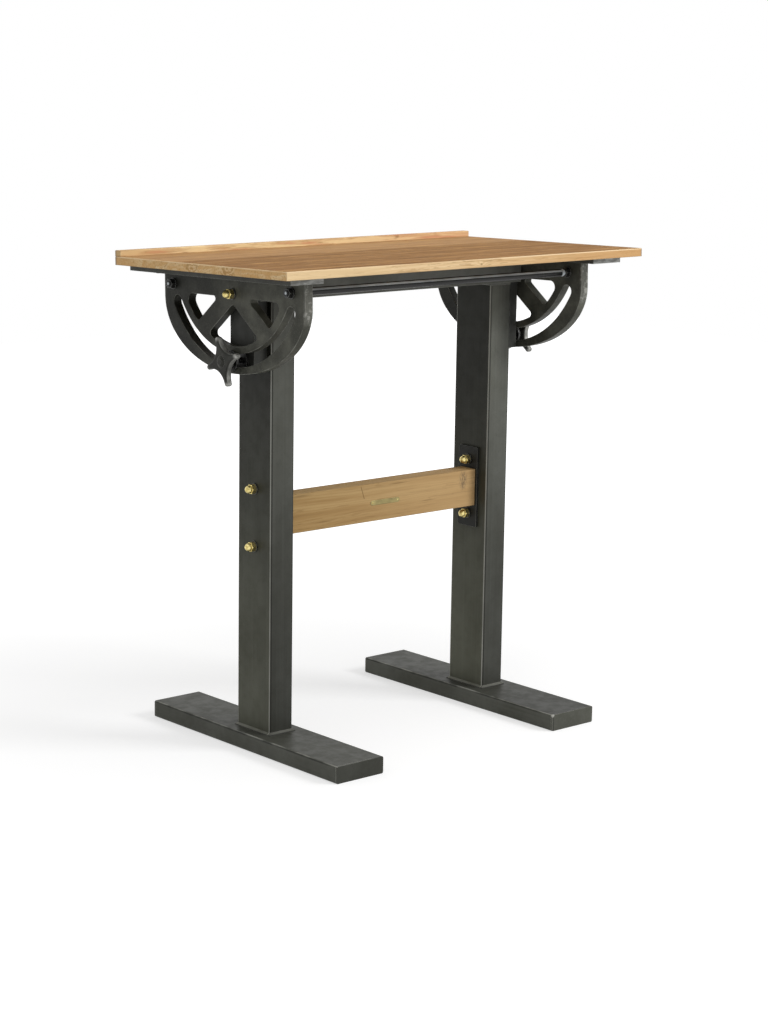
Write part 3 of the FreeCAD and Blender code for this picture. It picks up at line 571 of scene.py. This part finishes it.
class TopPiece:
    """What the boards and the ledge of the top share: grain, depth under the top face and sawn ends."""

    def __init__(self, name, seed, pith, ring, lean, knots):
        self.seed = seed
        self.finish = finish = Finish(name, 0.0022)
        self.grain = grain_of(finish, seed, pith, ring, lean, knots)
        level = finish.along((0, math.sin(rest_tilt), math.cos(rest_tilt)))
        self.depth = finish.minus(tilt_axis * math.cos(rest_tilt) + top_over_axis, level)
        self.out = finish.absolute(finish.x)
        self.ends = finish.span(self.out, top_half - 0.0012, top_half - 0.0004)

    def surface(self, tones, figure):
        """Colour and relief, with swirls on the sawn ends, and the dark and the deep tone."""
        finish = self.finish
        tones = [finish.mix(self.ends, tone, end) for tone, end in zip(tones, end_tones)]
        base, relief = wood_surface(finish, self.grain, tones, 1.0, figure)
        curl = finish.streaky((6, 6, 18), (self.seed, 0, 0), 2, 0.5, (0.5, 0, 0), 1.0)
        swirl = finish.math("FRACT", finish.times(curl, 6))
        base = finish.paint(base, end_tones[1], finish.span(swirl, 0.1, 0.8),
                            finish.span(swirl, 1.0, 0.85), self.ends, 0.75)
        return base, relief, tones[1], tones[2]

    def flecked(self, base, deep):
        """Short dark flecks, and brown along the lower edge."""
        finish = self.finish
        flecks = finish.streaky((26, 210, 210), (self.seed, 0, 0), 3, 0.6)
        below = finish.span(self.depth, board_thick - 0.0008, board_thick - 0.0002)
        base = finish.paint(base, deep, finish.span(flecks, 0.56, 0.68, 0.0, 0.45))
        return finish.paint(base, (0.10, 0.062, 0.032), below, 0.75)

    def worn(self, base, inside, weathered):
        """Pale edges, dark grooves where boards meet, a pale arris and two opposite grey corners.

        inside is 1 along the boards' joints and 0 on the outline. The ledge has no joints, so it gives 0.
        """
        finish = self.finish
        tone = self.grain["tone"]
        outside = finish.minus(1.0, inside)
        base = finish.paint(base, (0.80, 0.60, 0.36), finish.worn_edges(),
                            finish.span(tone, 0.3, 0.6, 0.3, 0.75), outside)
        base = finish.paint(base, face_tones[2], inside, finish.span(self.depth, 0.0002, 0.0010), 0.6)
        base = finish.paint(base, (0.95, 0.76, 0.50), finish.span(self.depth, 0.0002, 0.0006),
                            finish.span(self.depth, 0.0026, 0.0018),
                            finish.span(tone, 0.35, 0.60, 0.25, 0.75), outside)
        long_edges = finish.either(finish.span(finish.y, top_near - 0.0045, top_near - 0.0015),
                                   finish.span(finish.y, top_far + 0.0045, top_far + 0.0015))
        corners = finish.times(finish.span(self.out, top_half - 0.0045, top_half - 0.0015), long_edges,
                               finish.span(finish.times(finish.x, finish.y), 0.02, 0.0))
        return finish.paint(base, (0.24, 0.22, 0.20), corners, weathered)


def board_finish(name, seed, pith, ring, lean, knots=(), arches=()):
    """A board of the top: brown on its rubbed face, pale on its edges, with arched grain on an end."""
    piece = TopPiece(name, seed, pith, ring, lean, knots)
    finish = piece.finish
    inside = finish.times(finish.span(piece.out, top_half - 0.0018, top_half - 0.0022),
                          finish.span(finish.y, top_far + 0.0035, top_far + 0.0040),
                          finish.span(finish.y, top_near - 0.0010, top_near - 0.0015),
                          finish.span(piece.depth, 0.0030, 0.0026))
    upper = finish.span(piece.depth, 0.0010, 0.0004)
    rubbed = finish.either(upper, inside)
    ragged = finish.plus(finish.y, finish.times(piece.grain["tone"], 0.002))
    paler = finish.span(ragged, tone_seam + 0.0004, tone_seam + 0.0012)
    tones = [finish.mix(rubbed, edge, finish.mix(paler, face, rose))
             for edge, face, rose in zip(edge_tones, face_tones, rose_tones)]
    base, relief, dark, deep = piece.surface(tones, finish.span(rubbed, 0, 1, 0.65, 1.0))
    for point, reach in arches:
        wobble = finish.times(finish.noise(finish.place, 70, 3, 0.6), 16)
        rings = finish.plus(finish.times(finish.distance(point, (1, 0.8, 1.5)), 520), wobble)
        wave = finish.math("SINE", rings)
        around = finish.times(finish.spot(point, reach, reach * 0.7, (1, 0.9, 1)), piece.ends)
        base = finish.paint(base, (0.44, 0.24, 0.09), around, finish.span(wave, -0.30, 1.00, 0.0, 0.60))
        base = finish.paint(base, edge_tones[0], around, finish.span(wave, -0.10, -1.00, 0.0, 0.60))
    bands = finish.streaky((8, 52, 52), (seed, 3, 0), 4, 0.65, distortion=0.6)
    base = finish.paint(base, dark, rubbed, finish.span(bands, 0.50, 0.66, 0.0, 0.55))
    base = finish.paint(base, (0.52, 0.29, 0.105), rubbed, finish.span(bands, 0.47, 0.33, 0.0, 0.60))
    base = piece.flecked(base, deep)
    seam = finish.times(finish.line(finish.y, tone_seam, 0.0016, 0.0004), upper)
    base = finish.paint(base, face_tones[2], seam, 0.5)

    # The far edge, paler to the left and redder to the right
    front = finish.span(finish.y, top_front + 0.0012, top_front + 0.0006)
    base = finish.paint(base, (0.97, 0.74, 0.43), front, finish.span(finish.x, -0.05, -0.45, 0.0, 0.60))
    base = finish.paint(base, (0.60, 0.33, 0.13), front, finish.span(finish.x, -0.05, 0.46, 0.0, 0.62))
    return finish.done(piece.worn(base, inside, 0.6), relief, *wood_relief)


def ledge_finish():
    """The paper ledge: patchy, redder to the right, browner at its left end, with a knot and a lined brim."""
    knot = ((0.272, top_near - ledge_wide, 1.051), 0.0110, (0.9, 1, 0.8))
    piece = TopPiece("wood_ledge", 33, (0.24, 0.97), 0.0075, (0.03, 0.02), [knot])
    finish = piece.finish
    base, relief, _, deep = piece.surface(edge_tones, 0.45)
    base = piece.flecked(base, deep)
    patch = finish.streaky((8, 3, 100), (2, 0, 0), 3, 0.55)
    base = finish.paint(base, (0.92, 0.72, 0.40), finish.span(patch, 0.50, 0.60, 0, 0.80))
    base = finish.paint(base, (0.64, 0.30, 0.17), finish.span(patch, 0.47, 0.38, 0, 0.80))
    base = finish.paint(base, (0.72, 0.36, 0.19), finish.span(finish.x, 0.0, 0.45, 0, 0.35))
    base = finish.paint(base, (0.66, 0.41, 0.19), finish.span(finish.x, -0.30, -0.49, 0, 0.55))
    brim = finish.span(piece.depth, 0.0025 - ledge_high, 0.0008 - ledge_high)
    lines = finish.streaky((7, 160, 160), (11, 0, 0), 3, 0.6)
    base = finish.paint(base, (0.34, 0.19, 0.09), brim, finish.span(lines, 0.44, 0.58, 0.0, 0.65))
    return finish.done(piece.worn(base, 0.0, 0.35), relief, *wood_relief)


def beam_finish():
    """The stretcher: dark streaks, a crack, a smudge by its right end and greyed edges."""
    finish = Finish("wood_beam", 0.0030)
    grain = grain_of(finish, 21, (0.01, 0.40), 0.006, (0.02, 0.01))
    base, relief = wood_surface(finish, grain, beam_tones, 0.8)
    base = finish.paint(base, (0.82, 0.54, 0.28), finish.span(finish.x, -0.25, 0.26, 0.0, 0.30))
    for x, z, reach, squeeze in beam_streaks:
        streak = finish.spot((x, beam_face, z), reach, 0.0, (squeeze, 1, 1))
        base = finish.paint(base, (0.22, 0.135, 0.058), streak, 0.60)
    cloud = finish.span(finish.streaky((420, 220, 100), (7, 0, 0), 4, 0.75), 0.40, 0.60)
    smudge = finish.spot((smudge_place[0], beam_face, smudge_place[1]), 0.020, 0.004, (1.25, 1, 0.62))
    base = finish.paint(base, (0.13, 0.105, 0.080), smudge, cloud, 0.85)
    slope = finish.plus(finish.x, finish.times(finish.minus(finish.z, crack_z), crack_lean))
    crack = finish.times(finish.line(slope, crack_x, 0.0016, 0.0004),
                         finish.span(finish.z, crack_low, crack_low + 0.004),
                         finish.span(finish.z, crack_high, crack_high - 0.005),
                         finish.span(finish.y, beam_face + 0.002, beam_face + 0.001))
    base = finish.paint(base, (0.14, 0.08, 0.035), crack, 0.65)
    base = finish.paint(base, (0.40, 0.31, 0.20), finish.worn_edges(),
                        finish.span(grain["tone"], 0.3, 0.6, 0.2, 0.6))
    return finish.done(base, finish.minus(relief, crack), *wood_relief)


# Which piece has which finish ------------------------------------------------------------------
brass = brass_finish("brass_satin", (0.84, 0.71, 0.31), (0.52, 0.42, 0.15), 170, 0.10)
boards = (
    board_finish("wood_board_1", 41, (-0.250, 0.935), 0.0062, (0.0, 0.030),
                 knots=[((0.017, top_far, 1.043), 0.0035, (0.7, 1, 1))]),
    board_finish("wood_board_2", 47, (-0.110, 0.925), 0.0056, (0.02, 0.0),
                 arches=[((-top_half, -0.112, 1.045), 0.026)]),
    board_finish("wood_board_3", 53, (0.030, 0.945), 0.0060, (-0.02, 0.0),
                 arches=[((-top_half, 0.006, 1.036), 0.022)]),
    board_finish("wood_board_4", 59, (0.230, 0.925), 0.0064, (0.0, 0.01)),
)
finished = (
    (column_finish(), ("column",)),
    (foot_finish(), ("foot", "foot_caps")),
    (steel_finish("steel_angle", 11, 2.2), ("cross_angle", "column_cap")),
    (steel_finish("steel_bracket", 13, 0.7), ("bracket",)),
    (steel_finish("steel_plate", 17, 0.33), ("beam_plate",)),
    (steel_finish("steel_bar", 19, 1.25, bar_end), ("top_bar",)),
    (quadrant_finish(), ("quadrant",)),
    (knob_finish(), ("star_knob",)),
    (brass, ("stretcher_acorn_nuts", "pivot_acorn_nut")),
    (hardware_finish(), ("beam_screws", "stretcher_studs", "stretcher_washers", "pivot_bolt",
                         "pivot_washers", "clamp_stud", "clamp_washers", "quadrant_screws",
                         "bar_screws", "rod_washers", "rod_nuts")),
    (rod_finish(), ("far_tie_rod", "ledge_tie_rod")),
    (beam_finish(), ("stretcher_beam",)),
    (ledge_finish(), ("paper_ledge",)),
    *((board, (f"top_board_{number}",)) for number, board in enumerate(boards, 1)),
)
finish_of = {name: material for material, names in finished for name in names}


def dress_nodes():
    """Gives every carried-over node its finish."""
    for name, piece in nodes.items():
        plain = name.removeprefix("left_").removeprefix("right_")
        piece.data.materials.clear()
        piece.data.materials.append(finish_of[plain])


# Blank plate -----------------------------------------------------------------------------------
plate_middle = (0.0035, 0.501)   # X and Z on the stretcher's far face
plate_half = (0.042, 0.0055)
plate_thick = 0.0008
plate_bevel = 0.0003
arc_steps = 8                    # of each rounded end
pin_rings = ((0.0016, 0.0), (0.0015, 0.0004), (0.0011, 0.0008), (0.0005, 0.0010))   # radius, height
pin_sides = 16


def new_piece(name, shape, material, smooth=False):
    """A piece of the scene's own from a bmesh, fixed to the stand."""
    bmesh.ops.recalc_face_normals(shape, faces=shape.faces)
    mesh = bpy.data.meshes.new(name)
    shape.to_mesh(mesh)
    shape.free()
    piece = bpy.data.objects.new(name, mesh)
    scene.collection.objects.link(piece)
    mesh.materials.append(material)
    for face in mesh.polygons:
        face.use_smooth = smooth
    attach(piece, "stand")


def add_plate():
    """A small blank brass plate with rounded ends on the stretcher's far face."""
    half_x, half_z = plate_half
    outline = []
    for side in (1, -1):
        for step in range(arc_steps + 1):
            turn = math.radians(-90 + 180 * step / arc_steps)
            x = half_x - half_z + half_z * math.cos(turn)
            z = half_z * math.sin(turn)
            outline.append((side * x, side * z))
    shape = bmesh.new()
    base = [shape.verts.new((plate_middle[0] + x, beam_face, plate_middle[1] + z)) for x, z in outline]
    raised = bmesh.ops.extrude_face_region(shape, geom=[shape.faces.new(base)])
    lifted = [item for item in raised["geom"] if isinstance(item, bmesh.types.BMVert)]
    bmesh.ops.translate(shape, verts=lifted, vec=(0, -plate_thick, 0))
    rim = [edge for edge in shape.edges
           if all(abs(corner.co.y - beam_face + plate_thick) < 1e-6 for corner in edge.verts)]
    bmesh.ops.bevel(shape, geom=rim, offset=plate_bevel, segments=2, affect="EDGES")
    new_piece("blank_plate", shape,
              brass_finish("brass_plate", (0.30, 0.25, 0.11), (0.20, 0.165, 0.075), 28, 0.02))


def add_pins():
    """The two domed pins that hold the plate, at the middles of its rounded ends."""
    shape = bmesh.new()
    turns = [2 * math.pi * k / pin_sides for k in range(pin_sides)]
    for side in (-1, 1):
        x = plate_middle[0] + side * (plate_half[0] - plate_half[1])
        middle = Vector((x, beam_face - plate_thick, plate_middle[1]))
        loops = []
        for radius, height in pin_rings:
            ring = [Vector((radius * math.cos(turn), -height, radius * math.sin(turn))) for turn in turns]
            loops.append([shape.verts.new(middle + point) for point in ring])
        for low, high in zip(loops, loops[1:]):
            for k in range(pin_sides):
                after = (k + 1) % pin_sides
                shape.faces.new((low[k], low[after], high[after], high[k]))
        shape.faces.new(loops[0][::-1])
        shape.faces.new(loops[-1])
    new_piece("plate_pins", shape, brass, smooth=True)


# Studio ----------------------------------------------------------------------------------------
floor_half = 6.0
floor_grey = 0.60
bright_from, bright_to = 0.7, 3.2      # distances over which the floor brightens to pure white
floor_glow = 0.52                      # its glow under the desk, where 1 is white
sky_light = 0.50                       # the surroundings' light, where 1 is the white that is seen
key_lamp = ("key", (2.3, -2.9, 2.8), (0, 0, 0.7), 1.5, 84)     # name, place, aim, side in m, power in W
top_lamp = ("top", (-0.3, -0.6, 3.4), (0, 0, 0.5), 2.2, 30)


def seen_rays(tree):
    """1 for rays that show the background itself: seen, mirrored or through glass."""
    path = tree.nodes.new("ShaderNodeLightPath")
    seen = path.outputs["Is Camera Ray"]
    for kind in ("Is Glossy Ray", "Is Transmission Ray"):
        node = tree.nodes.new("ShaderNodeMath")
        node.operation = "MAXIMUM"
        tree.links.new(seen, node.inputs[0])
        tree.links.new(path.outputs[kind], node.inputs[1])
        seen = node.outputs[0]
    return seen


def add_floor():
    """A plain pale floor that runs into the white surroundings and keeps the object's shadow."""
    mesh = bpy.data.meshes.new("floor")
    corners = [(x * floor_half, y * floor_half, 0) for x, y in ((-1, -1), (1, -1), (1, 1), (-1, 1))]
    mesh.from_pydata(corners, [], [(0, 1, 2, 3)])
    floor = bpy.data.objects.new("floor", mesh)
    scene.collection.objects.link(floor)
    finish = Finish("floor_white")
    away = finish.add("ShaderNodeVectorMath", operation="LENGTH")
    finish.feed(away.inputs[0], finish.place)
    glow = finish.span(away.outputs["Value"], bright_from, bright_to, floor_glow, 1.0)
    finish.set(Base_Color=(floor_grey, floor_grey, floor_grey, 1), Roughness=0.9, Specular_IOR_Level=0.0,
               Emission_Color=(1, 1, 1, 1), Emission_Strength=finish.times(seen_rays(finish.tree), glow))
    mesh.materials.append(finish.material)


def add_lamp(name, place, aim, side, power):
    """A square lamp that looks at a point."""
    data = bpy.data.lights.new(name, "AREA")
    data.shape = "SQUARE"
    data.size = side
    data.energy = power
    lamp = bpy.data.objects.new(name, data)
    scene.collection.objects.link(lamp)
    lamp.location = place
    lamp.rotation_euler = (Vector(aim) - Vector(place)).to_track_quat("-Z", "Y").to_euler()


def add_studio():
    """White surroundings that light softly, a lamp in front and a lamp above."""
    world = bpy.data.worlds.new("studio")
    scene.world = world
    world.use_nodes = True
    tree = world.node_tree
    sky = tree.nodes["Background"]
    sky.inputs["Color"].default_value = (1, 1, 1, 1)
    strength = tree.nodes.new("ShaderNodeMapRange")
    strength.inputs["To Min"].default_value = sky_light
    tree.links.new(seen_rays(tree), strength.inputs["Value"])
    tree.links.new(strength.outputs[0], sky.inputs["Strength"])
    add_lamp(*key_lamp)
    add_lamp(*top_lamp)
    scene.view_settings.view_transform = "Standard"


add_camera()
dress_nodes()
add_plate()
add_pins()
add_floor()
add_studio()
